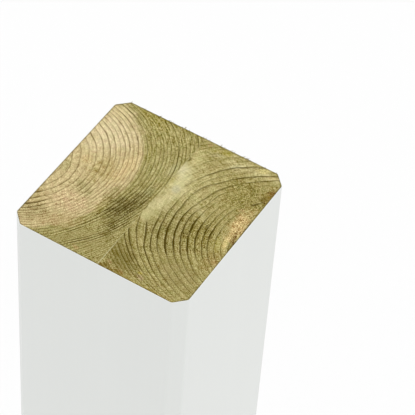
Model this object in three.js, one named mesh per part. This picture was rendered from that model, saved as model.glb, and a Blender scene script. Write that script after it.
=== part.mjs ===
// Laminated timber post: two planed softwood boards glued face to face into one square section,
// with its four long corners chamfered and both ends cut square.
// Millimetres, +Z up along the grain, origin at the centre of the foot.
// +X runs across the boards, so the glue line is a plane of constant x, and +Y runs along it.
import * as THREE from "three";

// Driving dimensions
const SECTION = 90; // across the flats, the same both ways
const LENGTH = 1000; // foot to top
const CHAMFER = 5.5; // each leg of the 45 degree chamfer along a long corner
const GLUE_LINE_X = 1.3; // the boards meet a little off the middle of the planed section

const HALF_SECTION = SECTION / 2;

// Finish of the sawn ends, where the bare treated softwood shows
const SOFTWOOD = { roughness: 0.75, metalness: 0 };
const LEFT_BOARD_COLOUR = 0xbfa977;
const RIGHT_BOARD_COLOUR = 0xb3a162;

// End of one board: from the glue line out to its planed face, which lies on the given side of it
// (-1 or +1), with a chamfer at each of its two outer corners.
function boardEnd(side) {
  const face = side * HALF_SECTION;
  const shoulder = side * (HALF_SECTION - CHAMFER);
  const edge = HALF_SECTION - CHAMFER;
  const end = new THREE.Shape();
  end.moveTo(GLUE_LINE_X, -HALF_SECTION);
  end.lineTo(shoulder, -HALF_SECTION);
  end.lineTo(face, -edge);
  end.lineTo(face, edge);
  end.lineTo(shoulder, HALF_SECTION);
  end.lineTo(GLUE_LINE_X, HALF_SECTION);
  end.closePath();
  return end;
}

// One board of the post, its end carried up the whole length.
function board(name, side, colour) {
  const geometry = new THREE.ExtrudeGeometry(boardEnd(side), {
    depth: LENGTH,
    bevelEnabled: false,
  });
  const material = new THREE.MeshStandardMaterial({ color: colour, ...SOFTWOOD });
  const mesh = new THREE.Mesh(geometry, material);
  mesh.name = name;
  return mesh;
}

const post = new THREE.Group();
post.name = "laminated_timber_post";
post.add(board("left_board", -1, LEFT_BOARD_COLOUR));
post.add(board("right_board", 1, RIGHT_BOARD_COLOUR));

export default post;
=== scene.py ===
"""Painted post of two softwood boards glued face to face, with its sawn ends left bare."""

import bisect
import math
import random
from typing import NamedTuple

import bmesh
import bpy
from bpy.props import FloatProperty, FloatVectorProperty, IntProperty, PointerProperty
from bpy.types import Operator, Panel, PropertyGroup
from mathutils import Color, Matrix, Vector, noise


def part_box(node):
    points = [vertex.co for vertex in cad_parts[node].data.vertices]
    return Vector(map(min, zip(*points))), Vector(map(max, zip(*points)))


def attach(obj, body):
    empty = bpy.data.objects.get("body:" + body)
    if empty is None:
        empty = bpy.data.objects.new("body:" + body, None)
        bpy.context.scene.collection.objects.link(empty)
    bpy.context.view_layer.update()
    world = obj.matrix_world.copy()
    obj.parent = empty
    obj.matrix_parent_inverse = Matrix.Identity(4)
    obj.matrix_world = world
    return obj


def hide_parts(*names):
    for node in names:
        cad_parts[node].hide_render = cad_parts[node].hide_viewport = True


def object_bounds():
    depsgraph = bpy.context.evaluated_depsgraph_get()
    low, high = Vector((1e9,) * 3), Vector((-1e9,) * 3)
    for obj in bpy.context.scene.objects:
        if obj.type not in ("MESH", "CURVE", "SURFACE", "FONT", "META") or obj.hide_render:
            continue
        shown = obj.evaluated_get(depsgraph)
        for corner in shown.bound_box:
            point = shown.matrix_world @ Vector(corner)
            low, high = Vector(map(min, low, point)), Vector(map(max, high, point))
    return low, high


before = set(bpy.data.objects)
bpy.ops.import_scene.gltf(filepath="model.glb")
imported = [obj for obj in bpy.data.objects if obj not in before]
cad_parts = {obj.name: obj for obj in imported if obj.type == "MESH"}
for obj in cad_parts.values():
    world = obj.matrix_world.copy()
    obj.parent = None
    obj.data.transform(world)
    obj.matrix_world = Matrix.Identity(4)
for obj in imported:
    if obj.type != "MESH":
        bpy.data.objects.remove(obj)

bl_info = {
    "name": "Laminated Timber Post",
    "version": (1, 0, 0),
    "blender": (4, 5, 0),
    "location": "View3D > Sidebar > Post",
    "description": "Builds a painted post of two glued boards with bare sawn ends",
    "category": "Add Mesh",
}

MM = 0.001

# Names in the frame
BODY = "root"
LEFT_NODE = "left_board"
RIGHT_NODE = "right_board"

# Names of a board's vertex layers and UV maps
TURN = "turn"
YEAR = "year"
GRAIN_MAP = "Grain"
BAKE_MAP = "OFBake"

# The frame's own box, and the plane where its two boards meet
CAD_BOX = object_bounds()
CAD_LOW, CAD_HIGH = CAD_BOX
GLUE_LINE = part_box(LEFT_NODE)[1].x

# White on screen, and the light on the sawn end against the light that shows white as white
SCREEN_WHITE = 255
LIGHT_ON_END = 1.25

# Change of wood colour that shows as an even step on screen, and the darkest that wood gets
EVEN_STEP = (0.29, 0.27, 0.16)
DARKEST = (0.004, 0.003, 0.001)

# Growth rings: radius from the pith and the width that a year added there, in millimetres
LEFT_GROWTH = (
    (12, 3.5), (18.8, 3.0), (24.7, 2.6), (27.2, 2.2), (29.5, 1.8), (34.5, 1.6), (43, 1.7),
    (46, 1.35), (60, 1.25),
)
RIGHT_GROWTH = (
    (15, 2.98), (26.5, 2.98), (29.5, 2.4), (32, 3.0), (35, 3.4), (38.3, 3.0), (41.3, 2.6),
    (43.9, 3.3), (50.3, 3.1), (53.4, 3.7), (57, 3.8), (61, 4.5), (65.4, 2.5), (76, 1.9),
)

# Side of its pith that a board's wood lies on, along X
RIGHT_OF_PITH = 1
LEFT_OF_PITH = -1

# Radius where a ring has its plain shape, radii where rings flatten, and where they end
STEADY_RADIUS = 40 * MM
FLATTENED_RADII = (50 * MM, 74 * MM)
LAST_RADIUS = 92 * MM

# Mesh of a board's end: a fan of rows and spokes round the pith
ROW = 0.36 * MM
SPOKE_STEP = math.radians(0.9)
FAN_HALF = math.radians(88)
WELD = 0.01 * MM
CUT_TOLERANCE = 0.0001 * MM
BOARD_SHARP_ANGLE = math.radians(40)

# Angle between a face, an eased arris and a chamfer, and how far the wood's arris is eased
ARRIS_ANGLE = math.radians(22.5)
ARRIS_EASE = 0.12 * MM

# Shares of a year over which its wood hardens, and over which it turns soft again
HARDENING = (0.55, 0.95)
SOFTENING = (0.97, 1.0)

# Sway of the saw marks along their length, and size of the torn tufts
SAW_SWAY = 3.0
SAW_SWAY_SIZE = 9 * MM
TUFT_SIZE = 0.8 * MM

# Slivers at the rear edge: ranges of their sizes and angles, and where they sit in the wood
SPLINTER_SEED = 11
SPLINTER_LENGTHS = (0.8 * MM, 1.8 * MM)
SPLINTER_TILTS = (math.radians(-100), math.radians(-60))
SPLINTER_SWINGS = (math.radians(-50), math.radians(50))
SPLINTER_ROOTS = (0.16 * MM, 0.30 * MM)
SPLINTER_TIP = 0.09 * MM
SPLINTER_SIDES = 5
SPLINTER_SHIFT = 0.3
SPLINTER_INSET = 0.15 * MM
SPLINTER_DEPTH = 0.16 * MM
TOP_BAND = 1 * MM

# Bake map: the top and the foot side by side, and a strip above them for the sides
BAKE_MARGIN = 0.01
BAKE_END_WIDTH = 0.48
BAKE_END_HEIGHT = 0.94
BAKE_FOOT_START = 0.51
BAKE_STRIP_START = 0.96
BAKE_STRIP_HEIGHT = 0.03
END_FACING = 0.5

# Paint film: rows of its mesh, edges that stay sharp, planed grain and the saw's bites
END_ROWS = [0.25 * MM, 0.6 * MM, 1.5 * MM, 4 * MM, 10 * MM]
EVEN_ROWS = 40
PAINT_ARRIS_SEGMENTS = 3
PAINT_SHARP_ANGLE = math.radians(50)
PLANED_WIDTH = 2 * MM
PLANED_LENGTH = 70 * MM
BITE_SIZE = 1.3 * MM
FRONT_BITE = 0.6
REAR_BITE = 0.8
REAR_EDGE = (0.8, 1.0)

FLOOR_SIDES = 96


def seen(red, green, blue):
    """Wood colour that the light on the sawn end shows as this screen colour, 0 to 255."""
    screen = Color((red, green, blue)) / SCREEN_WHITE
    return tuple(screen.from_srgb_to_scene_linear() / LIGHT_ON_END)


def smooth_step(low, high, value):
    """0 below low, 1 above high, and a soft rise between."""
    share = min(1.0, max(0.0, (value - low) / (high - low)))
    return share * share * (3.0 - 2.0 * share)


def unit_share(wave):
    """A share from 0 to 1 for a wave from -1 to 1."""
    return 0.5 + 0.5 * wave


def hump(value):
    """1 at 0, and a soft fall to 0 at 1 and at -1."""
    return unit_share(math.cos(math.pi * min(1.0, abs(value))))


class Bend(NamedTuple):
    """A place where the rings swell outwards, or draw in, in millimetres and degrees."""

    radius: float
    reach: float
    turn: float
    spread: float
    shift: float


class Arc(NamedTuple):
    """Part of some rings where their lines are bolder, with the turns in degrees."""

    rings: tuple
    turns: tuple
    amount: float


class Patch(NamedTuple):
    """A soft-edged patch on the end of a board, in millimetres and degrees: mostly stains; a few
    also hold painted edge shade and a painted sheen.

    lines and texture say how much stronger, or weaker where they are below 0, the ring lines
    and the fine texture are there.
    """

    centre: tuple
    reach: tuple
    slant: float
    colour: tuple
    amount: float
    lines: float = 0.0
    texture: float = 0.0
    core: float = 0.25


LEFT_BENDS = (
    Bend(radius=10, reach=34, turn=-88, spread=116, shift=5.2),
    Bend(radius=52, reach=14, turn=62, spread=45, shift=-1.8),
    Bend(radius=24, reach=12, turn=-75, spread=25, shift=1.6),
    Bend(radius=54, reach=8, turn=-48, spread=26, shift=-2.8),
)

RIGHT_BENDS = (
    Bend(radius=20, reach=26, turn=65, spread=80, shift=7.0),
    Bend(radius=72, reach=24, turn=-75, spread=62, shift=2.2),
    Bend(radius=52, reach=16, turn=-33, spread=26, shift=1.0),
    Bend(radius=43, reach=6, turn=9, spread=14, shift=-0.9),
    Bend(radius=44, reach=4, turn=64, spread=20, shift=1.0),
    Bend(radius=47.5, reach=3.5, turn=12, spread=18, shift=1.4),
    Bend(radius=41, reach=3, turn=8, spread=14, shift=-0.6),
    Bend(radius=53, reach=4.5, turn=62, spread=26, shift=-2.0),
    Bend(radius=53.5, reach=4, turn=-19, spread=14, shift=-0.9),
    Bend(radius=56.5, reach=4, turn=-28, spread=10, shift=-1.1),
)

LEFT_ARCS = (
    Arc((3, 3), (-45, 12), 0.18),
    Arc((4, 4), (-52, -8), 0.25),
    Arc((5, 5), (40, 64), 0.28),
    Arc((5, 5), (-76, -50), 0.45),
    Arc((7, 7), (8, 70), 0.26),
    Arc((8, 8), (25, 62), 0.10),
    Arc((10, 10), (28, 62), 0.10),
    Arc((11, 11), (36, 66), 0.36),
    Arc((11, 11), (-2, 12), 0.15),
    Arc((13, 13), (38, 68), 0.24),
    Arc((15, 15), (48, 70), 0.25),
    Arc((16, 22), (-22, 6), 0.25),
    Arc((17, 18), (-44, -22), 0.35),
    Arc((19, 19), (-22, 8), 0.15),
    Arc((24, 26), (-36, -14), 0.35),
    Arc((24, 25), (-50, -33), 0.34),
    Arc((23, 23), (18, 54), 0.50),
    Arc((28, 28), (30, 50), 0.55),
)

RIGHT_ARCS = (
    Arc((1, 2), (-40, -2), 0.35),
    Arc((4, 4), (-42, -8), 0.45),
    Arc((5, 5), (-54, -36), 0.35),
    Arc((4, 5), (-12, 48), 0.35),
    Arc((5, 12), (-38, -4), 0.58),
    Arc((13, 13), (-38, -14), 0.58),
    Arc((7, 12), (-34, -5), 0.25),
    Arc((8, 14), (-64, -38), 0.42),
    Arc((14, 17), (-46, -16), 0.50),
    Arc((15, 19), (-66, -46), 0.30),
    Arc((6, 8), (-4, 10), 0.30),
    Arc((9, 9), (-4, 24), 0.40),
    Arc((10, 10), (-4, 68), 0.55),
    Arc((11, 11), (-4, 68), 0.62),
    Arc((11, 12), (42, 68), 0.30),
    Arc((12, 12), (-4, 34), 0.30),
    Arc((13, 13), (8, 66), 0.60),
    Arc((14, 14), (46, 66), 0.30),
    Arc((15, 18), (44, 72), 0.28),
)

LEFT_PATCHES = (
    # Heartwood: pale above, golden in the middle, peach at its edge and lower down
    Patch((-36, 24), (17, 18), 0, seen(232, 215, 170), 0.70, lines=0.05),
    Patch((-38, 37), (9.5, 5.5), -22, seen(221, 204, 152), 0.90, lines=0.2),
    Patch((-27, 2), (9, 13), 0, seen(184, 166, 108), 0.75),
    Patch((-19, 9), (6, 15), 0, seen(218, 193, 139), 0.70),
    Patch((-29, -21), (12, 9), 0, seen(210, 185, 139), 0.85, lines=-0.15, texture=0.4),
    Patch((-27, -33), (15, 6), 30, seen(183, 160, 110), 0.70, lines=-0.4),
    Patch((-28, -11), (8, 6), -25, seen(178, 167, 114), 0.60, lines=0.4),
    Patch((-43, -28), (6, 9), 20, seen(180, 162, 106), 0.45, lines=1.4),
    Patch((-40, -35), (10, 7), 35, seen(156, 142, 92), 0.45, lines=0.3),
    Patch((-15, -6), (3.5, 9), -8, seen(152, 140, 84), 0.70),
    Patch((-15.5, -15.5), (3, 7), -12, seen(164, 148, 84), 0.60),
    Patch((-42.5, -4), (3, 6), 0, seen(178, 167, 112), 0.65),
    Patch((-37, 3), (4, 5), 0, seen(214, 190, 132), 0.50),
    # Sapwood: a dark damp-looking patch beside the glue line, paler above and below it
    Patch((-14, 37), (18, 10), 0, seen(170, 159, 97), 0.65, lines=-0.4, texture=0.5),
    Patch((-6.3, -10.3), (9.3, 15), -15, seen(107, 96, 45), 0.82, lines=0.3, texture=-0.3, core=0.1),
    Patch((-6.3, -22), (5, 5), 0, seen(158, 146, 90), 0.65),
    Patch((-5, -27.5), (7, 6), -20, seen(146, 135, 81), 0.60),
    Patch((-3, -18), (4, 9), -20, seen(146, 136, 84), 0.35, lines=0.8),
    Patch((-2.5, 3), (3, 6), 0, seen(160, 155, 106), 0.50),
    Patch((-13, 21), (4, 9), 15, seen(158, 146, 76), 0.60),
    Patch((-8, 18), (10, 12), 20, seen(176, 167, 110), 0.60),
    Patch((-1, 21), (3, 7), 0, seen(186, 180, 130), 0.50),
    Patch((-11, -37), (16, 9), 15, seen(165, 153, 98), 0.70, texture=-0.3),
    Patch((-12, -42), (2.6, 1.6), -20, seen(196, 162, 112), 0.50),
    Patch((-26, 43.5), (15, 6), -25, seen(166, 154, 84), 0.85, lines=0.2),
    Patch((-13, 44.8), (26, 2.4), 0, seen(158, 146, 70), 0.70),
)

RIGHT_PATCHES = (
    # Lighter wood round a resinous streak along the glue line, which has no rings
    Patch((12, 16), (17, 27), 0, seen(186, 175, 118), 0.75, lines=-0.3, texture=0.25),
    Patch((5, 17), (7.2, 16), 10, seen(211, 202, 149), 0.90, lines=-0.7, texture=-0.4, core=0.0),
    # Whitish spot in the streak: pale resin with a painted sheen
    Patch((3, 23), (4, 6), 20, seen(220, 213, 168), 0.62, texture=-0.3, core=0.0),
    Patch((5, 1), (7, 15), -6, seen(212, 202, 149), 0.92, lines=-1.0, texture=-0.4, core=0.15),
    Patch((3.8, -8.5), (4, 5), 0, seen(199, 189, 133), 0.90, lines=-1.0, texture=-0.45, core=0.2),
    Patch((2.2, 15), (1.6, 5), 0, seen(182, 170, 100), 0.60),
    Patch((6.3, 11), (2.6, 3), -20, seen(192, 186, 150), 0.65),
    Patch((6.6, 2), (0.9, 4.5), 14, seen(166, 156, 100), 0.55),
    Patch((4.5, 32), (5.5, 9), 0, seen(203, 192, 133), 0.90, lines=-0.5, core=0.0),
    Patch((22, 6), (11, 2.6), -30, seen(196, 185, 132), 0.60, lines=-0.25),
    # Bold lines in the lower half, damp wood between them in the middle
    Patch((18, -10), (17, 22), 25, seen(150, 139, 84), 0.65),
    Patch((5, -30), (9, 15), 40, seen(142, 130, 76), 0.50, lines=0.3, texture=-0.35),
    Patch((29, -6), (10, 13), 10, seen(142, 129, 60), 0.80, texture=0.3),
    Patch((9, -37), (13, 9), -25, seen(128, 116, 60), 0.75, lines=0.2, texture=-0.4),
    Patch((6, -44), (13, 3), 0, seen(126, 106, 42), 0.75, texture=-0.3),
    Patch((24, -45), (24, 2.5), 0, seen(158, 138, 62), 0.65, lines=-0.4),
    Patch((5, -40.5), (2.2, 1.0), -30, seen(176, 140, 96), 0.45),
    Patch((12, -42.4), (3, 1.1), -25, seen(168, 134, 86), 0.45),
    Patch((21, -40.5), (2.6, 1.4), -20, seen(178, 150, 118), 0.50),
    Patch((19.5, -38.4), (1.5, 0.9), 0, seen(196, 180, 78), 0.50),
    Patch((33, -31), (16, 11), -25, seen(156, 143, 89), 0.75, lines=-0.3, texture=-0.35),
    # Pale stripes towards the rear edge
    Patch((28, 40), (18, 6), 8, seen(200, 188, 134), 0.65, lines=-0.1, texture=0.4),
    Patch((33.4, 42.4), (6, 1.6), 35, seen(222, 207, 140), 0.75),
    Patch((38.8, 40.6), (4, 1.2), 35, seen(216, 200, 140), 0.70),
    Patch((6, 41), (9, 5), 0, seen(152, 142, 80), 0.50),
    Patch((22, 38.2), (6, 1.3), 38, seen(200, 192, 148), 0.50),
    Patch((18, 43.2), (6, 1.2), 38, seen(204, 192, 138), 0.50),
    Patch((12, 39.5), (5, 1.2), 32, seen(188, 178, 130), 0.50),
    Patch((9, 41.3), (4, 1.0), 32, seen(194, 184, 112), 0.50),
    Patch((5.3, 42.8), (2.2, 1.1), 30, seen(198, 168, 122), 0.45),
    Patch((14, 42.5), (4, 2.5), 0, seen(172, 162, 74), 0.60),
    # Plain mottled wood, warm wood near the pith, a knot stain and a dark speck
    Patch((34, 24), (15, 13), 0, seen(143, 131, 61), 0.70, lines=-0.6, texture=0.3),
    Patch((41, 9), (5.5, 14), 6, seen(208, 178, 120), 0.78, lines=-0.75, texture=1.0),
    Patch((40.5, 1), (3, 6), 12, seen(208, 182, 124), 0.45),
    Patch((44.8, 11), (1.5, 6.5), 0, seen(138, 130, 84), 0.60),
    Patch((41, -15), (5, 9), 0, seen(158, 139, 80), 0.65),
    Patch((38.5, -6), (2.6, 6), 22, seen(184, 172, 100), 0.55),
    Patch((41.2, -3.6), (2.0, 6), 24, seen(224, 204, 138), 0.80, texture=0.5),
    Patch((43, -15), (2.2, 3.6), 35, seen(184, 150, 96), 0.45),
    Patch((43.3, 0.5), (1.1, 5.5), 16, seen(112, 84, 34), 0.75, texture=-0.5),
    # Thin dark line along the right edge: painted edge shade and a burr
    Patch((44.8, 3), (0.8, 11), 0, seen(94, 74, 28), 0.80, texture=-0.5),
    Patch((43.5, 30.5), (4.5, 7), -10, seen(136, 114, 33), 0.84, lines=-0.3),
    Patch((43.8, 33), (2.0, 2.4), 20, seen(128, 95, 26), 0.70),
    Patch((41.8, 28), (1.7, 3.6), -30, seen(106, 91, 20), 0.75, texture=-0.6),
    Patch((41, 24), (0.9, 3.8), -34, seen(82, 68, 8), 0.90, texture=-0.8),
    Patch((1.9, 30), (1.0, 2.4), 0, seen(94, 82, 26), 0.80, texture=-0.5),
)


class Pattern(NamedTuple):
    """A noise: the size of its features, how much their place up the post counts, its detail."""

    size: float
    upward: float = 1.0
    detail: float = 2.0


# End grain: its even noises, and the features of its ring noises in a radian and in a year
END_NOISES = {
    "slow": Pattern(9 * MM),
    "middling": Pattern(3 * MM),
    "quick": Pattern(0.9 * MM),
    "fine": Pattern(0.40 * MM, detail=1.0),
}
RAYS = (1 / 0.011, 1 / 1.5)
STREAKS = (6, 0.9)
LINE_SWELLS = (5, 3.7)
BLUSHES = (14, 0.7)
THREADS_A_TURN = 10

# End grain: shares of the noises that its features follow
RING_WANDER = {"slow": 0.30, "middling": 0.18, "quick": 0.08}
HEART_WANDER = {"streaks": 0.8}
STAIN_EDGE = {"streaks": 0.8, "slow": 1.0, "middling": 0.8, "quick": 0.4, "fine": 0.4}
WOOD_TONE = {"fine": 2.8, "quick": 0.3, "middling": 0.2, "streaks": 0.2}
LINE_BREAKS = {"rays": 0.6, "quick": 0.8}
BRUISE_AND_SHADE_EDGE = {"middling": 1.0 * MM}
BRUISE_AND_SHADE_MOTTLE = {"slow": 0.9}
END_RELIEF = {"fine": 1.0, "quick": 0.5}
END_SHEEN = {"quick": 0.25}

# Wood between the lines: fade at the heartwood's edge in years, tone and tints
HEART_FADE = (-0.7, 0.5)
EARLY_LIFT = 0.06
LATE_DROP = 0.16
BLUSH_GAIN = 1.5
GREEN_TINT = (0.95, 1.01, 0.95)
PINK_TINT = (1.05, 0.99, 1.04)

# Ring lines: darkening before a line in years, sides in shares of its width, and variation
LINE_LEAD = 0.7
LATE_RISE = (-LINE_LEAD, -0.1)
LINE_ONSET = (-1.0, -0.1)
LINE_CLOSE = (0.15, 0.5)
FAINT_WIDTH = 0.7
BOLD_WIDTH = 0.5
LINE_LUCK = 0.2
LINE_SWELL = 1.6
ARC_SWAY = 0.25
ARC_FADE = 8.0

# Glue line, and bruised rim with painted shade along the edge: where they fade, and how strongly
# they show
GLUE_FRONT = (-38 * MM, -22 * MM)
GLUE_WIDTH = (0.10 * MM, 0.30 * MM)
GLUE_SHOW = 0.15
GLUE_FRONT_SHOW = 0.7
BRUISE_AND_SHADE_WIDTH = (0.10 * MM, 0.90 * MM)
BRUISE_AND_SHADE_SHOW = 0.55

# Surface of the end grain
END_ROUGHNESS = 0.84
END_SPECULAR = 0.05
LINE_SHEEN = 0.10
LINE_RELIEF = 0.3
END_BUMP_DEPTH = 0.12 * MM
END_BUMP_STRENGTH = 0.35

# Paint: its noises, the shares of them that it follows, and its surface
PAINT_NOISES = {
    "streaks": Pattern(1.6 * MM, upward=0.03, detail=3.0),
    "bands": Pattern(14 * MM, upward=0.02),
    "peel": Pattern(1.1 * MM, detail=1.0),
    "cloud": Pattern(40 * MM),
}
PAINT_TONE = {"streaks": 0.018, "bands": 0.020, "cloud": 0.012}
PAINT_RELIEF = {"streaks": 0.8, "peel": 0.5}
PAINT_SHEEN = {"peel": 0.12, "streaks": 0.10}
PAINT_BUMP_DEPTH = 0.05 * MM
PAINT_BUMP_STRENGTH = 0.25

# Floor: size and share of its clouding, and its surface
FLOOR_CLOUD_SIZE = 3.0
FLOOR_CLOUD = 0.01
FLOOR_ROUGHNESS = 0.9

# Middle of a noise, a share or a height that runs from 0 to 1
MIDDLE = 0.5


class BoardLook(NamedTuple):
    """What sets one board's end grain apart from the other's."""

    heart_radius: float
    tight_years: tuple
    line_shares: tuple
    boldness: float
    threads_a_year: float
    tone: dict
    arcs: tuple
    patches: tuple


LEFT_LOOK = BoardLook(
    heart_radius=40 * MM,
    tight_years=(4.0, 10.0),
    line_shares=(0.16, 0.28),
    boldness=0.42,
    threads_a_year=2.6,
    tone={"rays": 1.0, "threads": 1.5, **WOOD_TONE},
    arcs=LEFT_ARCS,
    patches=LEFT_PATCHES,
)

RIGHT_LOOK = BoardLook(
    heart_radius=0.0,
    tight_years=(17.0, 22.0),
    line_shares=(0.22, 0.32),
    boldness=0.18,
    threads_a_year=5.5,
    tone={"rays": 1.2, "threads": 1.2, **WOOD_TONE},
    arcs=RIGHT_ARCS,
    patches=RIGHT_PATCHES,
)


def number_property(name, description, default):
    """A plain number."""
    return FloatProperty(name=name, description=description, default=default)


def length_property(name, description, default):
    """A length, with the decimals that a small one needs."""
    return FloatProperty(
        name=name, description=description, default=default, unit="LENGTH", precision=6,
    )


def angle_property(name, description, degrees):
    """An angle, from its default in degrees."""
    return FloatProperty(
        name=name, description=description, default=math.radians(degrees), subtype="ANGLE",
    )


def colour_property(name, description, default):
    """A colour of a surface."""
    return FloatVectorProperty(
        name=name, description=description, default=default, subtype="COLOR",
    )


def pair_property(name, description, default):
    """Two plain numbers that belong together."""
    return FloatVectorProperty(name=name, description=description, default=default, size=2)


def place_property(name, description, default):
    """A place on the end of the post, from its two distances."""
    return FloatVectorProperty(
        name=name, description=description, default=default, size=2, unit="LENGTH", precision=6,
    )


class PostSizes(PropertyGroup):
    """Sizes that every piece of the post shares."""

    half_width: length_property(
        "Half Width", "From the middle of the post to a painted face", CAD_HIGH.x,
    )
    length: length_property("Length", "From the foot to the top end", CAD_HIGH.z - CAD_LOW.z)
    glue_line: length_property(
        "Glue Line", "Where the two boards meet, across the post", GLUE_LINE,
    )
    chamfer: length_property(
        "Chamfer", "Each leg of the chamfer along a long corner", 5.5 * MM,
    )
    film: length_property("Paint Film", "Thickness of the paint on the sides", 0.2 * MM)
    clearance: length_property(
        "Clearance", "Gap that keeps the film and the glued faces apart", 0.02 * MM,
    )


def ring_properties(pith, drift, stretch, bulge, lean, lobe, square, flatten, first):
    """Properties of one board's growth rings, with this board's own defaults."""
    return {
        "pith": place_property("Pith", "Heart of the trunk, beside the end of the post", pith),
        "drift": pair_property(
            "Drift", "How far the ring centre moves for each unit of radius", drift,
        ),
        "stretch": number_property(
            "Stretch", "Length of a ring along the glue line against its width", stretch,
        ),
        "bulge": number_property("Bulge", "Two-sided swelling of the rings", bulge),
        "lean": pair_property(
            "Lean", "Two-sided twist of a ring, and how it grows outwards", lean,
        ),
        "lobe": pair_property(
            "Lobe", "Three-sided twist of a ring, and how it grows outwards", lobe,
        ),
        "square": number_property("Square", "How the outer rings turn four-sided", square),
        "flatten": number_property(
            "Flatten", "How much the outermost rings draw in along the glue line", flatten,
        ),
        "first": length_property("First Ring", "Radius of the smallest ring counted", first),
    }


class LeftRings(PropertyGroup):
    """Growth rings of the left board, whose pith lies off its outer face."""

    __annotations__ = ring_properties(
        pith=(-54.2 * MM, -5.3 * MM), drift=(0.033, 0.058), stretch=1.15, bulge=0.006,
        lean=(0.0, 0.056), lobe=(0.034, 0.041), square=-0.017, flatten=0.0, first=5.4 * MM,
    )


class RightRings(PropertyGroup):
    """Growth rings of the right board, whose pith lies off its outer face."""

    __annotations__ = ring_properties(
        pith=(64.3 * MM, -0.2 * MM), drift=(-0.041, 0.14), stretch=0.95, bulge=0.025,
        lean=(-0.047, 0.0), lobe=(0.0, 0.0), square=0.0, flatten=0.15, first=14.58 * MM,
    )


class SawCut(PropertyGroup):
    """Relief that the saw left on the end grain."""

    early_drop: length_property(
        "Earlywood Drop", "How far the soft wood sits below the hard ring lines", 0.07 * MM,
    )
    saw_pitch: length_property("Saw Pitch", "Distance between saw marks", 2.3 * MM)
    saw_depth: length_property("Saw Depth", "Depth of the saw marks", 0.03 * MM)
    saw_angle: angle_property("Saw Angle", "Direction across the saw marks, seen on the end", 62)
    fuzz: length_property("Fuzz", "Depth of the torn fibre ends", 0.05 * MM)
    splinters: IntProperty(
        name="Splinters", description="Torn slivers along the edge where the saw came out",
        default=14, min=0,
    )


class GrainColours(PropertyGroup):
    """Colours of the bare end grain."""

    heartwood: colour_property(
        "Heartwood", "Tan wood near the pith of the left board", seen(206, 187, 137),
    )
    left_sapwood: colour_property(
        "Left Sapwood", "Treated outer wood of the left board", seen(168, 157, 99),
    )
    right_sapwood: colour_property(
        "Right Sapwood", "Treated wood of the right board", seen(168, 156, 98),
    )
    heart_line: colour_property(
        "Heartwood Line", "Latewood line in the heartwood", seen(106, 88, 40),
    )
    sap_line: colour_property(
        "Sapwood Line", "Latewood line in the treated wood", seen(76, 62, 2),
    )
    glue: colour_property("Glue", "Thin line of glue between the boards", seen(206, 199, 152))
    # Rim: bruised wood and painted shade along the sawn edges, and on the slivers past the rear edge
    rim: colour_property("Rim", "Bruised wood along the sawn edges", seen(92, 80, 34))


class PaintFinish(PropertyGroup):
    """The opaque paint on the sides."""

    colour: colour_property("Colour", "Body colour of the paint", (0.713, 0.730, 0.709))
    roughness: FloatProperty(
        name="Roughness", description="Roughness of the satin paint", default=0.46,
        subtype="FACTOR",
    )
    arris: length_property("Arris", "Rounding of the painted long edges", 0.7 * MM)
    column: length_property("Column", "Width of a strip of the painted face", 0.9 * MM)
    grain_depth: length_property(
        "Grain Depth", "How deep the planed grain shows through the paint", 0.03 * MM,
    )
    rim_depth: length_property(
        "Rim Depth", "How unevenly the saw left the edge of the film", 0.14 * MM,
    )


class StageSettings(PropertyGroup):
    """Floor, light and camera."""

    floor_radius: length_property("Floor Radius", "Size of the pale floor", 60.0)
    floor_colour: colour_property(
        "Floor Colour", "Colour of the pale floor", (0.796, 0.796, 0.796),
    )
    surround: number_property("Surround", "Strength of the even light from all round", 1.0)
    key_strength: number_property(
        "Key Strength", "Strength of the soft light from above", 0.82,
    )
    key_towards: FloatVectorProperty(
        name="Key Towards", description="Direction from the post towards the soft light",
        subtype="DIRECTION", default=(0.062, 0.066, 0.30),
    )
    key_spread: angle_property("Key Spread", "Angle that the soft light fills", 50)
    lens: number_property("Lens", "Focal length in millimetres", 191.4)
    aim: place_property(
        "Aim", "Point on the top end that the camera looks at", (23.77 * MM, 9.81 * MM),
    )
    distance: length_property("Distance", "From the aim point to the camera", 980.1 * MM)
    azimuth: angle_property("Azimuth", "Turn of the camera round the post", 28.5)
    elevation: angle_property("Elevation", "Height of the camera above the horizon", 48.874)
    roll: angle_property("Roll", "Tilt of the camera about its line of sight", 4.363)


class PostSettings(PropertyGroup):
    """Everything about the post that a user would change."""

    sizes: PointerProperty(type=PostSizes)
    left_rings: PointerProperty(type=LeftRings)
    right_rings: PointerProperty(type=RightRings)
    saw_cut: PointerProperty(type=SawCut)
    colours: PointerProperty(type=GrainColours)
    paint: PointerProperty(type=PaintFinish)
    stage: PointerProperty(type=StageSettings)


class Wire:
    """A value in a material's node tree. Arithmetic on it adds Math nodes."""

    def __init__(self, finish, socket):
        self.finish = finish
        self.socket = socket

    def maths(self, operation, *terms):
        """The result of a Math node with these terms."""
        return self.finish.add("ShaderNodeMath", {"operation": operation}, dict(enumerate(terms)))

    def __add__(self, other):
        return self.maths("ADD", self, other)

    def __radd__(self, other):
        return self.maths("ADD", other, self)

    def __sub__(self, other):
        return self.maths("SUBTRACT", self, other)

    def __rsub__(self, other):
        return self.maths("SUBTRACT", other, self)

    def __mul__(self, other):
        return self.maths("MULTIPLY", self, other)

    def __rmul__(self, other):
        return self.maths("MULTIPLY", other, self)

    def __truediv__(self, other):
        return self.maths("DIVIDE", self, other)

    def __rtruediv__(self, other):
        return self.maths("DIVIDE", other, self)

    def __abs__(self):
        return self.maths("ABSOLUTE", self)

    def __floor__(self):
        return self.maths("FLOOR", self)

    def least(self, other):
        """The lesser of two values."""
        return self.maths("MINIMUM", self, other)


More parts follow.
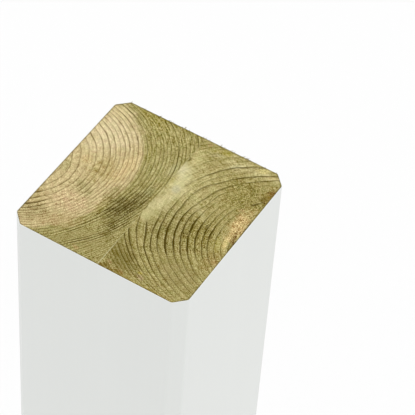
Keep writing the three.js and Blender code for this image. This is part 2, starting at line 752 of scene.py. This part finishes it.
class Finish:
    """A material under construction."""

    def __init__(self, name):
        self.material = bpy.data.materials.new(name)
        self.material.use_nodes = True
        self.tree = self.material.node_tree
        self.tree.nodes.clear()

    def add(self, kind, settings=None, sockets=None, output=0):
        """Adds a node, sets it up, fills or links its sockets and returns one of its outputs."""
        node = self.tree.nodes.new(kind)
        for key, value in (settings or {}).items():
            setattr(node, key, value)
        for key, value in (sockets or {}).items():
            named = [socket for socket in node.inputs if socket.enabled and socket.name == key]
            socket = named[0] if named else node.inputs[key]
            if isinstance(value, Wire):
                self.tree.links.new(value.socket, socket)
            elif socket.type == "RGBA":
                socket.default_value = (*value, 1.0)
            else:
                socket.default_value = value
        if not node.outputs:
            return None
        shown = [socket for socket in node.outputs if socket.enabled]
        return Wire(self, node.outputs[output] if isinstance(output, str) else shown[output])

    def place(self):
        """Object coordinates, in metres."""
        return self.add("ShaderNodeTexCoord", output="Object")

    def axis(self, vector, letter):
        """One component of a vector."""
        return self.add("ShaderNodeSeparateXYZ", sockets={"Vector": vector}, output=letter)

    def scaled(self, vector, factors):
        """A vector with each component multiplied by its own factor."""
        sockets = {0: vector, 1: factors}
        return self.add("ShaderNodeVectorMath", {"operation": "MULTIPLY"}, sockets)

    def joined(self, x, y):
        """A flat vector from two values."""
        return self.add("ShaderNodeCombineXYZ", sockets={"X": x, "Y": y})

    def noise(self, vector, size, detail=2.0):
        """Noise of this feature size, 0 on average and seldom past 0.3 either way."""
        sockets = {"Vector": vector, "Scale": 1 / size, "Detail": detail}
        return self.add("ShaderNodeTexNoise", sockets=sockets) - MIDDLE

    def noises(self, place, patterns):
        """Noises by name, each from its pattern."""
        made = {}
        for name, pattern in patterns.items():
            drawn = self.scaled(place, (1.0, 1.0, pattern.upward))
            made[name] = self.noise(drawn, pattern.size, pattern.detail)
        return made

    def ring_noise(self, turn, year, counts, detail=2.0):
        """Noise with these counts of features in a radian of turn and in a year."""
        spread = self.joined(turn * counts[0], year * counts[1])
        return self.noise(spread, 1.0, detail)

    def rise(self, value, low, high):
        """0 below low, 1 above high, with a soft step between."""
        sockets = {"Value": value, "From Min": low, "From Max": high}
        return self.add("ShaderNodeMapRange", {"interpolation_type": "SMOOTHSTEP"}, sockets)

    def fall(self, value, low, high):
        """1 below low, 0 above high, with a soft step between."""
        return 1 - self.rise(value, low, high)

    def mixed(self, share, first, second):
        """A colour between two others."""
        settings = {"data_type": "RGBA", "clamp_factor": True}
        return self.add("ShaderNodeMix", settings, {"Factor": share, "A": first, "B": second})

    def lit(self, colour, factor):
        """A colour made lighter or darker by a factor."""
        sockets = {"Vector": colour, "Scale": factor}
        return self.add("ShaderNodeVectorMath", {"operation": "SCALE"}, sockets)

    def raised(self, colour, amount):
        """A colour with its three channels raised, or lowered, by even steps."""
        sockets = {0: amount, 1: EVEN_STEP, 2: colour}
        lifted = self.add("ShaderNodeVectorMath", {"operation": "MULTIPLY_ADD"}, sockets)
        return self.add("ShaderNodeVectorMath", {"operation": "MAXIMUM"}, {0: lifted, 1: DARKEST})

    def spot(self, flat, patch, ragged):
        """1 in the middle of a patch and 0 outside it, with its edge moved by a noise."""
        sockets = {
            "Vector": flat,
            "Location": (patch.centre[0] * MM, patch.centre[1] * MM, 0.0),
            "Rotation": (0.0, 0.0, math.radians(patch.slant)),
            "Scale": (patch.reach[0] * MM, patch.reach[1] * MM, 1.0),
        }
        local = self.add("ShaderNodeMapping", {"vector_type": "TEXTURE"}, sockets)
        settings = {"operation": "LENGTH"}
        distance = self.add("ShaderNodeVectorMath", settings, {0: local}, output="Value")
        return self.fall(distance + ragged, patch.core, 1.0)

    def bumped(self, height, distance, strength):
        """A normal that follows a height from 0 to 1."""
        sockets = {"Height": height, "Distance": distance, "Strength": strength}
        return self.add("ShaderNodeBump", sockets=sockets)

    def done(self, sockets):
        """Ends the material in a surface with these socket values."""
        surface = self.add("ShaderNodeBsdfPrincipled", sockets=sockets)
        self.add("ShaderNodeOutputMaterial", sockets={"Surface": surface})
        return self.material


class Rings:
    """Growth rings of one board: where a point of a ring lies, and which year grew there."""

    def __init__(self, shape, side, growth, bends):
        self.shape = shape
        self.side = side
        self.bends = bends
        self.radii = [shape.first]
        while self.radii[-1] < LAST_RADIUS:
            self.radii.append(self.radii[-1] + self.width(growth, self.radii[-1] / MM) * MM)

    @staticmethod
    def width(growth, radius):
        """Width that a year added at this radius, both in millimetres."""
        if radius <= growth[0][0]:
            return growth[0][1]
        for (low, before), (high, after) in zip(growth, growth[1:]):
            if radius <= high:
                return before + (after - before) * (radius - low) / (high - low)
        return growth[-1][1]

    def year(self, radius):
        """Year that grew at this radius, with its fraction."""
        radii = self.radii
        index = min(max(bisect.bisect_right(radii, radius) - 1, 0), len(radii) - 2)
        return index + (radius - radii[index]) / (radii[index + 1] - radii[index])

    def bent(self, radius, turn):
        """Ring radius after the places where the rings swell or draw in."""
        shift = 0.0
        for bend in self.bends:
            outward = (radius / MM - bend.radius) / bend.reach
            aside = (math.degrees(turn) - bend.turn) / bend.spread
            shift += bend.shift * hump(outward) * hump(aside) * MM
        return radius + shift

    def point(self, radius, turn):
        """Place on the end of the post of a point at this ring radius and turn round the pith."""
        shape = self.shape
        radius = self.bent(radius, turn)
        outward = radius / STEADY_RADIUS - 1.0
        sway = (
            1.0
            + shape.bulge * math.cos(2 * turn)
            + (shape.lean[0] + shape.lean[1] * outward) * math.sin(2 * turn)
            + (shape.lobe[0] + shape.lobe[1] * outward) * math.sin(3 * turn)
            + shape.square * outward * math.cos(4 * turn)
        )
        drawn = 1.0 - shape.flatten * smooth_step(*FLATTENED_RADII, radius)
        x = shape.pith[0] + shape.drift[0] * radius + self.side * radius * sway * math.cos(turn)
        y = shape.pith[1] + shape.drift[1] * radius
        y += radius * sway * shape.stretch * drawn * math.sin(turn)
        return Vector((x, y, 0.0))


class Grain(NamedTuple):
    """Where a point of an end lies in its rings, and the noises that the finish's layers share."""

    flat: Wire
    turn: Wire
    year: Wire
    noises: dict


def chamfer_reach(sizes):
    """Distance from the middle of the post to a chamfer."""
    return (2 * sizes.half_width - sizes.chamfer) / math.sqrt(2)


def section_planes(sizes, inset):
    """Direction and distance from the middle of each face, chamfer and eased arris."""
    half = sizes.half_width
    corner_reach = half * math.cos(ARRIS_ANGLE) + (half - sizes.chamfer) * math.sin(ARRIS_ANGLE)
    arris_reach = corner_reach - ARRIS_EASE
    reaches = (half, arris_reach, chamfer_reach(sizes), arris_reach)
    for index in range(round(2 * math.pi / ARRIS_ANGLE)):
        angle = index * ARRIS_ANGLE
        reach = reaches[index % len(reaches)]
        yield Vector((math.cos(angle), math.sin(angle), 0.0)), reach - inset


def ring_sheet(bm, rings, sizes):
    """Lays a fan of small faces on the rings and trims it to the end of one board."""
    turn_layer = bm.verts.layers.float.new(TURN)
    year_layer = bm.verts.layers.float.new(YEAR)
    first = rings.radii[0]
    start = Vector((math.cos(FAN_HALF), -math.sin(FAN_HALF), 0.0))
    spoke = bm.edges.new((bm.verts.new(start * first), bm.verts.new(start * LAST_RADIUS)))
    bmesh.ops.subdivide_edges(bm, edges=[spoke], cuts=round((LAST_RADIUS - first) / ROW) - 1)
    bmesh.ops.spin(
        bm, geom=bm.verts[:] + bm.edges[:], cent=(0, 0, 0), axis=(0, 0, 1),
        angle=2 * FAN_HALF, steps=round(2 * FAN_HALF / SPOKE_STEP),
    )
    for vert in bm.verts:
        radius = vert.co.length
        turn = math.atan2(vert.co.y, vert.co.x)
        vert[turn_layer] = turn
        vert[year_layer] = rings.year(radius)
        vert.co = rings.point(radius, turn)
    planes = list(section_planes(sizes, sizes.film + sizes.clearance))
    glued_side = Vector((rings.side, 0.0, 0.0))
    planes.append((glued_side, rings.side * sizes.glue_line - sizes.clearance))
    for normal, distance in planes:
        bmesh.ops.bisect_plane(
            bm, geom=bm.verts[:] + bm.edges[:] + bm.faces[:], dist=CUT_TOLERANCE,
            plane_co=normal * distance, plane_no=normal, clear_outer=True,
        )
    in_order = sorted(bm.verts, key=lambda vert: vert.co[:])
    bmesh.ops.remove_doubles(bm, verts=in_order, dist=WELD)


def sawn_drop(saw_cut, place, year):
    """How far the saw left this point of an end below its highest points."""
    age = year - math.floor(year)
    hard = smooth_step(*HARDENING, age) * (1.0 - smooth_step(*SOFTENING, age))
    across = place.x * math.cos(saw_cut.saw_angle) + place.y * math.sin(saw_cut.saw_angle)
    sway = SAW_SWAY * noise.noise(place / SAW_SWAY_SIZE)
    mark = unit_share(math.sin(2 * math.pi * across / saw_cut.saw_pitch + sway))
    torn = unit_share(noise.noise(place / TUFT_SIZE))
    drop = saw_cut.early_drop * (1.0 - hard)
    return drop + saw_cut.saw_depth * mark + saw_cut.fuzz * torn


def add_splinters(bm, rings, sizes, saw_cut):
    """Stands torn slivers along the edge of the top end where the saw came out."""
    turn_layer = bm.verts.layers.float[TURN]
    year_layer = bm.verts.layers.float[YEAR]
    picker = random.Random(SPLINTER_SEED + rings.side)
    rear = sizes.half_width - sizes.film - 2 * sizes.clearance
    top = sizes.length - TOP_BAND
    edge = [vert for vert in bm.verts if vert.co.y > rear and vert.co.z > top]
    edge.sort(key=lambda vert: vert.co.x)
    for root in picker.sample(edge, saw_cut.splinters):
        length = picker.uniform(*SPLINTER_LENGTHS)
        tilt = Matrix.Rotation(picker.uniform(*SPLINTER_TILTS), 4, "X")
        swing = Matrix.Rotation(picker.uniform(*SPLINTER_SWINGS), 4, "Z")
        seat = Vector((root.co.x, rear - SPLINTER_INSET, sizes.length - SPLINTER_DEPTH))
        outward = Matrix.Translation((0.0, 0.0, SPLINTER_SHIFT * length))
        turn = root[turn_layer]
        year = root[year_layer]
        made = bmesh.ops.create_cone(
            bm, cap_ends=True, segments=SPLINTER_SIDES, depth=length,
            radius1=picker.uniform(*SPLINTER_ROOTS), radius2=SPLINTER_TIP,
            matrix=Matrix.Translation(seat) @ swing @ tilt @ outward,
        )
        for vert in made["verts"]:
            vert[turn_layer] = turn
            vert[year_layer] = year
            vert.co.z = min(vert.co.z, sizes.length)


def map_board(bm, sizes, side):
    """Gives the mesh its grain map, of turn and year, and its bake map."""
    turn_layer = bm.verts.layers.float[TURN]
    year_layer = bm.verts.layers.float[YEAR]
    grain = bm.loops.layers.uv.new(GRAIN_MAP)
    bake = bm.loops.layers.uv.new(BAKE_MAP)
    edges = sorted((sizes.glue_line, -side * sizes.half_width))
    width = edges[1] - edges[0]
    middle = sum(edges) / 2
    for face in bm.faces:
        on_end = abs(face.normal.z) > END_FACING
        end_start = BAKE_MARGIN if face.normal.z > 0 else BAKE_FOOT_START
        for loop in face.loops:
            vert = loop.vert
            loop[grain].uv = (vert[turn_layer], vert[year_layer])
            if on_end:
                across = (vert.co.x - edges[0]) / width
                along = unit_share(vert.co.y / sizes.half_width)
                loop[bake].uv = (
                    end_start + BAKE_END_WIDTH * across,
                    BAKE_MARGIN + BAKE_END_HEIGHT * along,
                )
            else:
                bearing = math.atan2(vert.co.y, vert.co.x - middle)
                loop[bake].uv = (
                    BAKE_MARGIN + (1 - 2 * BAKE_MARGIN) * unit_share(bearing / math.pi),
                    BAKE_STRIP_START + BAKE_STRIP_HEIGHT * vert.co.z / sizes.length,
                )


def finished_mesh(bm, name, sharp_angle):
    """Turns a bmesh into a mesh that is smooth but for the edges sharper than this angle."""
    for face in bm.faces:
        face.smooth = True
    mesh = bpy.data.meshes.new(name)
    bm.to_mesh(mesh)
    bm.free()
    mesh.set_sharp_from_angle(angle=sharp_angle)
    return mesh


def board_mesh(name, settings, rings):
    """Mesh of one board, from its rings, with the saw's relief on both ends."""
    sizes = settings.sizes
    bm = bmesh.new()
    ring_sheet(bm, rings, sizes)
    grown = bmesh.ops.extrude_face_region(bm, geom=bm.faces[:], use_keep_orig=True)
    risen = [item for item in grown["geom"] if isinstance(item, bmesh.types.BMVert)]
    bmesh.ops.translate(bm, verts=risen, vec=(0.0, 0.0, sizes.length))
    bmesh.ops.recalc_face_normals(bm, faces=bm.faces[:])
    year_layer = bm.verts.layers.float[YEAR]
    for vert in bm.verts:
        drop = sawn_drop(settings.saw_cut, vert.co, vert[year_layer])
        vert.co.z += drop if vert.co.z < sizes.length / 2 else -drop
    add_splinters(bm, rings, sizes, settings.saw_cut)
    bm.normal_update()
    map_board(bm, sizes, rings.side)
    mesh = finished_mesh(bm, name, BOARD_SHARP_ANGLE)
    mesh.uv_layers[GRAIN_MAP].active_render = True
    return mesh


def varied(value, shares, noises):
    """A value with its shares of some of the noises added."""
    for name, share in shares.items():
        value = value + share * noises[name]
    return value


def grain_of(finish, place, threads_a_year):
    """The place in the rings and the shared noises of an end-grain finish."""
    chart = finish.add("ShaderNodeUVMap", {"uv_map": GRAIN_MAP})
    turn = finish.axis(chart, "X")
    year = finish.axis(chart, "Y")
    threads = (THREADS_A_TURN, threads_a_year)
    noises = finish.noises(place, END_NOISES)
    noises["rays"] = finish.ring_noise(turn, year, RAYS, detail=1.0)
    noises["threads"] = finish.ring_noise(turn, year, threads, detail=1.0)
    noises["streaks"] = finish.ring_noise(turn, year, STREAKS)
    return Grain(finish.scaled(place, (1.0, 1.0, 0.0)), turn, year, noises)


def stained_wood(finish, grain, look, wood):
    """Colour of the wood between its ring lines, and how strong the lines are there."""
    strength = 1.0
    texture = 1.0
    ragged = varied(0.0, STAIN_EDGE, grain.noises)
    for patch in look.patches:
        spot = finish.spot(grain.flat, patch, ragged)
        wood = finish.mixed(patch.amount * spot, wood, patch.colour)
        if patch.lines:
            strength = (1 + patch.lines * spot) * strength
        if patch.texture:
            texture = (1 + patch.texture * spot) * texture
    tone = varied(0.0, look.tone, grain.noises)
    blush = finish.ring_noise(grain.turn, grain.year, BLUSHES)
    tint = finish.mixed(MIDDLE + BLUSH_GAIN * blush, GREEN_TINT, PINK_TINT)
    return finish.raised(finish.scaled(wood, tint), tone * texture), strength


def line_boldness(finish, grain, look, ring, along):
    """How bold each ring line is, by chance and along the arcs that are bolder."""
    luck = finish.add(
        "ShaderNodeTexWhiteNoise", {"noise_dimensions": "1D"}, {"W": ring}, output="Value",
    )
    boldness = look.boldness + LINE_LUCK * (luck - MIDDLE)
    degrees = (grain.turn + ARC_SWAY * along) * math.degrees(1)
    for arc in look.arcs:
        from_turn, to_turn = arc.turns
        there = finish.rise(degrees, from_turn - ARC_FADE, from_turn + ARC_FADE)
        there = there * finish.fall(degrees, to_turn - ARC_FADE, to_turn + ARC_FADE)
        there = there * finish.rise(ring, arc.rings[0] - 1, arc.rings[0])
        there = there * finish.fall(ring, arc.rings[1], arc.rings[1] + 1)
        boldness = boldness + arc.amount * there
    return boldness


def ring_lines(finish, grain, look, wandering, strength):
    """Dark latewood lines, sharp on their outer side, and the darker wood that leads to them."""
    ring = math.floor(wandering + LINE_LEAD)
    offset = wandering - ring
    along = finish.ring_noise(grain.turn, ring, LINE_SWELLS)
    boldness = line_boldness(finish, grain, look, ring, along)
    boldness = boldness * strength * (1 + LINE_SWELL * along)
    tight = finish.rise(grain.year, *look.tight_years)
    share = look.line_shares[0] + (look.line_shares[1] - look.line_shares[0]) * tight
    share = share * (FAINT_WIDTH + BOLD_WIDTH * boldness)
    onset = finish.rise(offset, LINE_ONSET[0] * share, LINE_ONSET[1] * share)
    close = finish.fall(offset, LINE_CLOSE[0] * share, LINE_CLOSE[1] * share)
    line = onset * close * boldness * varied(1, LINE_BREAKS, grain.noises)
    late = finish.rise(offset, *LATE_RISE) * close
    return line, late * strength


def end_grain(name, settings, look, heart_year, sapwood):
    """Bare sawn wood: ring lines, rays, treatment stains and a bruised rim that also carries painted
    edge shade.
    """
    sizes = settings.sizes
    colours = settings.colours
    finish = Finish(name)
    place = finish.place()
    x = finish.axis(place, "X")
    y = finish.axis(place, "Y")
    grain = grain_of(finish, place, look.threads_a_year)
    wandering = varied(grain.year, RING_WANDER, grain.noises)
    heart_edge = varied(wandering, HEART_WANDER, grain.noises)
    heart = finish.fall(heart_edge, heart_year + HEART_FADE[0], heart_year + HEART_FADE[1])
    wood = finish.mixed(heart, tuple(sapwood), tuple(colours.heartwood))
    wood, strength = stained_wood(finish, grain, look, wood)
    line, late = ring_lines(finish, grain, look, wandering, strength)
    line_colour = finish.mixed(heart, tuple(colours.sap_line), tuple(colours.heart_line))
    wood = finish.raised(wood, EARLY_LIFT - LATE_DROP * late)
    wood = finish.mixed(line, wood, line_colour)

    # Glue line, strongest towards the front
    glue = finish.fall(abs(x - sizes.glue_line), *GLUE_WIDTH)
    glue_show = GLUE_SHOW + GLUE_FRONT_SHOW * finish.fall(y, *GLUE_FRONT)
    wood = finish.mixed(glue * glue_show, wood, tuple(colours.glue))

    # Bruised rim of the sawn end, darkened also as painted shade along the edge
    half = sizes.half_width - sizes.film
    to_side = (half - abs(x)).least(half - abs(y))
    to_chamfer = chamfer_reach(sizes) - sizes.film - (abs(x) + abs(y)) / math.sqrt(2)
    to_edge = varied(to_side.least(to_chamfer), BRUISE_AND_SHADE_EDGE, grain.noises)
    bruise_and_edge_shade = finish.fall(to_edge, *BRUISE_AND_SHADE_WIDTH)
    bruise_and_edge_shade_show = varied(BRUISE_AND_SHADE_SHOW, BRUISE_AND_SHADE_MOTTLE, grain.noises)
    wood = finish.mixed(bruise_and_edge_shade * bruise_and_edge_shade_show, wood, tuple(colours.rim))

    relief = varied(MIDDLE, END_RELIEF, grain.noises) + LINE_RELIEF * line
    return finish.done({
        "Base Color": wood,
        "Roughness": varied(END_ROUGHNESS, END_SHEEN, grain.noises) - LINE_SHEEN * line,
        "Specular IOR Level": END_SPECULAR,
        "Normal": finish.bumped(relief, END_BUMP_DEPTH, END_BUMP_STRENGTH),
    })


def satin_paint(paint):
    """Opaque paint: a faint orange peel, and the planed grain just showing under it."""
    finish = Finish("satin_paint")
    noises = finish.noises(finish.place(), PAINT_NOISES)
    relief = varied(MIDDLE, PAINT_RELIEF, noises)
    return finish.done({
        "Base Color": finish.lit(tuple(paint.colour), varied(1, PAINT_TONE, noises)),
        "Roughness": varied(paint.roughness, PAINT_SHEEN, noises),
        "Normal": finish.bumped(relief, PAINT_BUMP_DEPTH, PAINT_BUMP_STRENGTH),
    })


def floor_finish(stage):
    """Matt pale floor."""
    finish = Finish("studio_floor")
    cloud = finish.noise(finish.place(), FLOOR_CLOUD_SIZE)
    return finish.done({
        "Base Color": finish.lit(tuple(stage.floor_colour), 1 + FLOOR_CLOUD * cloud),
        "Roughness": FLOOR_ROUGHNESS,
        "Specular IOR Level": 0.0,
    })


def placed(name, mesh, material):
    """Links an object with this mesh and material at the origin."""
    mesh.materials.append(material)
    piece = bpy.data.objects.new(name, mesh)
    bpy.context.scene.collection.objects.link(piece)
    return piece


def timber(node, settings, rings, look, sapwood):
    """One board of the post, in place of this node, with its bare end grain."""
    name = f"{node}_timber"
    mesh = board_mesh(name, settings, rings)
    heart_year = rings.year(look.heart_radius)
    material = end_grain(f"{node}_end_grain", settings, look, heart_year, sapwood)
    return placed(name, mesh, material)


class POST_OT_stage(Operator):
    """Sets up the floor, the light and the camera"""

    bl_idname = "post.stage"
    bl_label = "Stage"

    def execute(self, context):
        scene = context.scene
        settings = scene.post
        stage = settings.stage
        bm = bmesh.new()
        bmesh.ops.create_circle(
            bm, cap_ends=True, segments=FLOOR_SIDES, radius=stage.floor_radius,
        )
        mesh = bpy.data.meshes.new("studio_floor")
        bm.to_mesh(mesh)
        bm.free()
        placed("studio_floor", mesh, floor_finish(stage))

        world = bpy.data.worlds.new("studio")
        world.use_nodes = True
        background = world.node_tree.nodes["Background"]
        background.inputs["Color"].default_value = (1.0, 1.0, 1.0, 1.0)
        background.inputs["Strength"].default_value = stage.surround
        scene.world = world

        key = bpy.data.lights.new("soft_key", "SUN")
        key.energy = stage.key_strength
        key.angle = stage.key_spread
        key_light = bpy.data.objects.new("soft_key", key)
        key_light.rotation_euler = Vector(stage.key_towards).to_track_quat("Z", "Y").to_euler()
        scene.collection.objects.link(key_light)

        lens = bpy.data.cameras.new("camera")
        lens.lens = stage.lens
        camera = bpy.data.objects.new("camera", lens)
        level = math.cos(stage.elevation)
        away = Vector((
            math.sin(stage.azimuth) * level,
            -math.cos(stage.azimuth) * level,
            math.sin(stage.elevation),
        ))
        aim = Vector((*stage.aim, settings.sizes.length))
        facing = away.to_track_quat("Z", "Y").to_matrix().to_4x4()
        camera.matrix_world = (
            Matrix.Translation(aim + away * stage.distance)
            @ facing @ Matrix.Rotation(stage.roll, 4, "Z")
        )
        scene.collection.objects.link(camera)
        scene.camera = camera
        scene.view_settings.view_transform = "Standard"
        return {"FINISHED"}


class POST_OT_left_board(Operator):
    """Builds the left board, with tan heartwood and tight outer rings"""

    bl_idname = "post.left_board"
    bl_label = "Left Board"

    def execute(self, context):
        settings = context.scene.post
        rings = Rings(settings.left_rings, RIGHT_OF_PITH, LEFT_GROWTH, LEFT_BENDS)
        piece = timber(LEFT_NODE, settings, rings, LEFT_LOOK, settings.colours.left_sapwood)
        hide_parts(LEFT_NODE)
        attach(piece, BODY)
        return {"FINISHED"}


class POST_OT_right_board(Operator):
    """Builds the right board, olive green with bold wide rings"""

    bl_idname = "post.right_board"
    bl_label = "Right Board"

    def execute(self, context):
        settings = context.scene.post
        rings = Rings(settings.right_rings, LEFT_OF_PITH, RIGHT_GROWTH, RIGHT_BENDS)
        piece = timber(RIGHT_NODE, settings, rings, RIGHT_LOOK, settings.colours.right_sapwood)
        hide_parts(RIGHT_NODE)
        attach(piece, BODY)
        return {"FINISHED"}


class POST_OT_paint_coat(Operator):
    """Builds the paint film on the four faces and chamfers"""

    bl_idname = "post.paint_coat"
    bl_label = "Paint Coat"

    def execute(self, context):
        settings = context.scene.post
        sizes = settings.sizes
        paint = settings.paint
        bm = bmesh.new()
        bmesh.ops.create_grid(bm, x_segments=1, y_segments=1, size=sizes.half_width)
        for offset, segments in ((sizes.chamfer, 1), (paint.arris, PAINT_ARRIS_SEGMENTS)):
            bmesh.ops.bevel(
                bm, geom=bm.verts[:], offset=offset, offset_type="OFFSET", affect="VERTICES",
                segments=segments, profile=0.5, material=-1,
            )
        bmesh.ops.delete(bm, geom=bm.faces[:], context="FACES_ONLY")
        for edge in bm.edges[:]:
            cuts = round(edge.calc_length() / paint.column) - 1
            if cuts > 0:
                bmesh.ops.subdivide_edges(bm, edges=[edge], cuts=cuts)
        self.raise_walls(bm, sizes)
        bmesh.ops.recalc_face_normals(bm, faces=bm.faces[:])
        self.press_grain(bm, sizes, paint)
        bmesh.ops.solidify(bm, geom=bm.faces[:], thickness=sizes.film)
        mesh = finished_mesh(bm, "paint_coat", PAINT_SHARP_ANGLE)
        piece = placed("paint_coat", mesh, satin_paint(paint))
        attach(piece, BODY)
        return {"FINISHED"}

    @staticmethod
    def raise_walls(bm, sizes):
        """Draws the outline up to the full length, in rows that are closer near the ends."""
        first = END_ROWS[-1]
        step = (sizes.length - 2 * first) / EVEN_ROWS
        levels = END_ROWS + [first + step * (index + 1) for index in range(EVEN_ROWS)]
        levels += [sizes.length - height for height in reversed(END_ROWS[:-1])] + [sizes.length]
        rim = bm.edges[:]
        height = 0.0
        for level in levels:
            grown = bmesh.ops.extrude_edge_only(bm, edges=rim)["geom"]
            verts = [item for item in grown if isinstance(item, bmesh.types.BMVert)]
            bmesh.ops.translate(bm, verts=verts, vec=(0.0, 0.0, level - height))
            rim = [item for item in grown if isinstance(item, bmesh.types.BMEdge)]
            height = level

    @staticmethod
    def press_grain(bm, sizes, paint):
        """Presses the planed grain into the faces and the saw's edge into both rims."""
        planed = Vector((1 / PLANED_WIDTH, 1 / PLANED_WIDTH, 1 / PLANED_LENGTH))
        outward = {vert: vert.normal.copy() for vert in bm.verts}
        for vert in bm.verts:
            place = vert.co.copy()
            at_foot = place.z < WELD
            hollow = unit_share(noise.noise(place * planed))
            vert.co -= outward[vert] * paint.grain_depth * hollow
            if at_foot or place.z > sizes.length - WELD:
                bite = unit_share(noise.noise(place / BITE_SIZE))
                rear = smooth_step(*REAR_EDGE, place.y / sizes.half_width)
                depth = paint.rim_depth * bite * (FRONT_BITE + REAR_BITE * rear)
                vert.co.z += depth if at_foot else -depth


class VIEW3D_PT_post(Panel):
    """Sidebar panel of the post"""

    bl_label = "Laminated Timber Post"
    bl_idname = "VIEW3D_PT_post"
    bl_space_type = "VIEW_3D"
    bl_region_type = "UI"
    bl_category = "Post"

    def draw(self, context):
        for operator in OPERATORS:
            self.layout.operator(operator.bl_idname)


OPERATORS = (POST_OT_stage, POST_OT_left_board, POST_OT_right_board, POST_OT_paint_coat)
GROUPS = (
    PostSizes, LeftRings, RightRings, SawCut, GrainColours, PaintFinish, StageSettings,
    PostSettings,
)
CLASSES = GROUPS + OPERATORS + (VIEW3D_PT_post,)


def register():
    """Registers the classes and hangs the settings on the scene."""
    for cls in CLASSES:
        bpy.utils.register_class(cls)
    bpy.types.Scene.post = PointerProperty(type=PostSettings)


def unregister():
    """Takes the settings and the classes away again."""
    del bpy.types.Scene.post
    for cls in reversed(CLASSES):
        bpy.utils.unregister_class(cls)


def main():
    """Builds the stage and the post."""
    register()
    bpy.ops.post.stage()
    bpy.ops.post.left_board()
    bpy.ops.post.right_board()
    bpy.ops.post.paint_coat()


if __name__ == "__main__":
    main()
